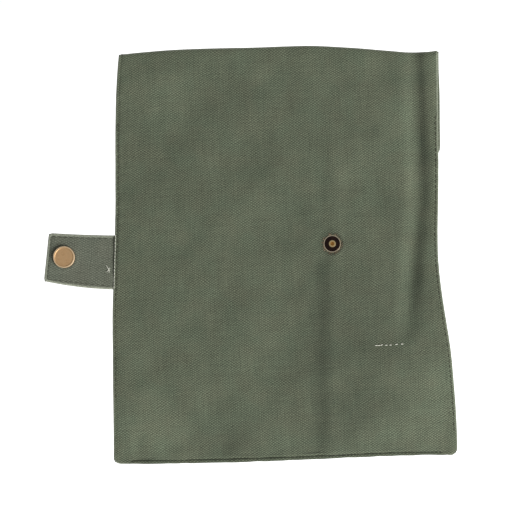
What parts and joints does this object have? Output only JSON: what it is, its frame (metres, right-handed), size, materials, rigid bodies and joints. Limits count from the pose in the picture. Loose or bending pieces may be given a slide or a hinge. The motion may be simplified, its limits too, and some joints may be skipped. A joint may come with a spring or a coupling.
{
  "type": "roll-up brush case",
  "caption": "Cloth brush roll lying open, outer face up, with sewn brush channels inside, a turned-in top flap and a strap with a press snap that closes the roll.",
  "frame": {"origin": "centre of the bounding box in plan, on the plane the case rests on", "axes": "+Z out of the outer face, X the rolling direction with the strap at -X, Y along the brushes with the flap at +Y"},
  "size_m": [0.2757, 0.285, 0.0112],
  "materials": {
    "shell_twill": "matt cotton twill",
    "lining_cloth": "matt plain cotton",
    "pocket_cloth": "matt cotton twill",
    "flap_cloth": "matt cotton twill",
    "strap_twill": "matt cotton twill",
    "dark_thread": "twisted thread",
    "pale_thread": "twisted thread",
    "cap_brass": "satin antique brass",
    "socket_brass": "satin",
    "spring_steel": "drawn wire",
    "stud_brass": "polished rim, dark dish",
    "post_brass": "satin"
  },
  "bodies": {
    "panel_1": {"outer_shell_1": "shell_twill", "lining_1": "lining_cloth", "pocket_1": "pocket_cloth", "channel_thread_1": "dark_thread", "left_edge_thread": "dark_thread", "strap_tab": "strap_twill"},
    "flap_strip_1": {"flap_1": "flap_cloth"},
    "panel_2": {"outer_shell_2": "shell_twill", "lining_2": "lining_cloth", "pocket_2": "pocket_cloth", "channel_thread_2": "dark_thread"},
    "flap_strip_2": {"flap_2": "flap_cloth"},
    "panel_3": {"outer_shell_3": "shell_twill", "lining_3": "lining_cloth", "pocket_3": "pocket_cloth", "channel_thread_3": "dark_thread"},
    "flap_strip_3": {"flap_3": "flap_cloth"},
    "panel_4": {"outer_shell_4": "shell_twill", "lining_4": "lining_cloth", "pocket_4": "pocket_cloth", "channel_thread_4": "dark_thread"},
    "flap_strip_4": {"flap_4": "flap_cloth"},
    "panel_5": {"outer_shell_5": "shell_twill", "lining_5": "lining_cloth", "pocket_5": "pocket_cloth", "channel_thread_5": "dark_thread"},
    "flap_strip_5": {"flap_5": "flap_cloth"},
    "panel_6": {"outer_shell_6": "shell_twill", "lining_6": "lining_cloth", "pocket_6": "pocket_cloth", "channel_thread_6": "dark_thread", "snap_stud": "stud_brass", "snap_post": "post_brass"},
    "flap_strip_6": {"flap_6": "flap_cloth"},
    "panel_7": {"outer_shell_7": "shell_twill", "lining_7": "lining_cloth", "pocket_7": "pocket_cloth", "channel_thread_7": "dark_thread", "tack_stitches": "pale_thread"},
    "flap_strip_7": {"flap_7": "flap_cloth"},
    "panel_8": {"outer_shell_8": "shell_twill", "lining_8": "lining_cloth", "pocket_8": "pocket_cloth", "right_edge_thread": "dark_thread"},
    "flap_strip_8": {"flap_8": "flap_cloth"},
    "strap_near": {"strap_outer_ply_base": "strap_twill", "strap_inner_ply_base": "strap_twill", "strap_thread_base": "dark_thread"},
    "strap_far": {"strap_outer_ply_tip": "strap_twill", "strap_inner_ply_tip": "strap_twill", "strap_thread_tip": "dark_thread", "snap_cap": "cap_brass", "snap_socket": "socket_brass", "snap_spring": "spring_steel"}
  },
  "joints": [
    {"name": "roll_fold_5", "type": "hinge", "parent": "panel_6", "child": "panel_5", "pos_m": [0.0458, 0, 0.0054], "axis": [0, -1, 0], "range_deg": [0, 54.91]},
    {"name": "roll_fold_4", "type": "hinge", "parent": "panel_5", "child": "panel_4", "pos_m": [0.0188, 0, 0.0054], "axis": [0, -1, 0], "range_deg": [0, 54.91]},
    {"name": "roll_fold_3", "type": "hinge", "parent": "panel_4", "child": "panel_3", "pos_m": [-0.0082, 0, 0.0054], "axis": [0, -1, 0], "range_deg": [0, 54.91]},
    {"name": "roll_fold_2", "type": "hinge", "parent": "panel_3", "child": "panel_2", "pos_m": [-0.0352, 0, 0.0054], "axis": [0, -1, 0], "range_deg": [0, 54.91]},
    {"name": "roll_fold_1", "type": "hinge", "parent": "panel_2", "child": "panel_1", "pos_m": [-0.0622, 0, 0.0054], "axis": [0, -1, 0], "range_deg": [0, 54.91]},
    {"name": "roll_fold_6", "type": "hinge", "parent": "panel_6", "child": "panel_7", "pos_m": [0.0728, 0, 0.0054], "axis": [0, 1, 0], "range_deg": [0, 97]},
    {"name": "roll_fold_7", "type": "hinge", "parent": "panel_7", "child": "panel_8", "pos_m": [0.105, 0, 0.0054], "axis": [0, 1, 0], "range_deg": [0, 103]},
    {"name": "strap_root_bend", "type": "hinge", "parent": "panel_1", "child": "strap_near", "pos_m": [-0.0913, 0, 0.0054], "axis": [0, -1, 0], "range_deg": [-20, 33.98]},
    {"name": "strap_middle_bend", "type": "hinge", "parent": "strap_near", "child": "strap_far", "pos_m": [-0.1105, 0, 0.0054], "axis": [0, -1, 0], "range_deg": [-30.3, 51.46]},
    {"name": "flap_fold_1", "type": "hinge", "parent": "panel_1", "child": "flap_strip_1", "pos_m": [-0.07075, 0.14084, 0.0054], "axis": [-0.9991, 0.043, 0], "range_deg": [-179.5, 0]},
    {"name": "flap_fold_2", "type": "hinge", "parent": "panel_2", "child": "flap_strip_2", "pos_m": [-0.0487, 0.13989, 0.0054], "axis": [-0.9991, 0.043, 0], "range_deg": [-179.5, 0]},
    {"name": "flap_fold_3", "type": "hinge", "parent": "panel_3", "child": "flap_strip_3", "pos_m": [-0.0217, 0.13873, 0.0054], "axis": [-0.9991, 0.043, 0], "range_deg": [-179.5, 0]},
    {"name": "flap_fold_4", "type": "hinge", "parent": "panel_4", "child": "flap_strip_4", "pos_m": [0.0053, 0.13757, 0.0054], "axis": [-0.9991, 0.043, 0], "range_deg": [-179.5, 0]},
    {"name": "flap_fold_5", "type": "hinge", "parent": "panel_5", "child": "flap_strip_5", "pos_m": [0.0323, 0.13641, 0.0054], "axis": [-0.9991, 0.043, 0], "range_deg": [-179.5, 0]},
    {"name": "flap_fold_6", "type": "hinge", "parent": "panel_6", "child": "flap_strip_6", "pos_m": [0.05905, 0.13526, 0.0054], "axis": [-0.9991, 0.043, 0], "range_deg": [-179.5, 0]},
    {"name": "flap_fold_7", "type": "hinge", "parent": "panel_7", "child": "flap_strip_7", "pos_m": [0.0888, 0.13398, 0.0054], "axis": [-0.9991, 0.043, 0], "range_deg": [-179.5, 0]},
    {"name": "flap_fold_8", "type": "hinge", "parent": "panel_8", "child": "flap_strip_8", "pos_m": [0.1218, 0.13255, 0.0054], "axis": [-0.9991, 0.043, 0], "range_deg": [-179.5, 0]}
  ],
  "couplings": [
    {"joint": "roll_fold_4", "follows": "roll_fold_5", "ratio": 1},
    {"joint": "roll_fold_3", "follows": "roll_fold_5", "ratio": 1},
    {"joint": "roll_fold_2", "follows": "roll_fold_5", "ratio": 1},
    {"joint": "roll_fold_1", "follows": "roll_fold_5", "ratio": 1},
    {"joint": "roll_fold_6", "follows": "roll_fold_5", "ratio": 1.7665},
    {"joint": "roll_fold_7", "follows": "roll_fold_5", "ratio": 1.8758},
    {"joint": "strap_middle_bend", "follows": "strap_root_bend", "ratio": 1.5144},
    {"joint": "flap_fold_1", "follows": "flap_fold_6", "ratio": 1},
    {"joint": "flap_fold_2", "follows": "flap_fold_6", "ratio": 1},
    {"joint": "flap_fold_3", "follows": "flap_fold_6", "ratio": 1},
    {"joint": "flap_fold_4", "follows": "flap_fold_6", "ratio": 1},
    {"joint": "flap_fold_5", "follows": "flap_fold_6", "ratio": 1},
    {"joint": "flap_fold_7", "follows": "flap_fold_6", "ratio": 1},
    {"joint": "flap_fold_8", "follows": "flap_fold_6", "ratio": 1}
  ]
}
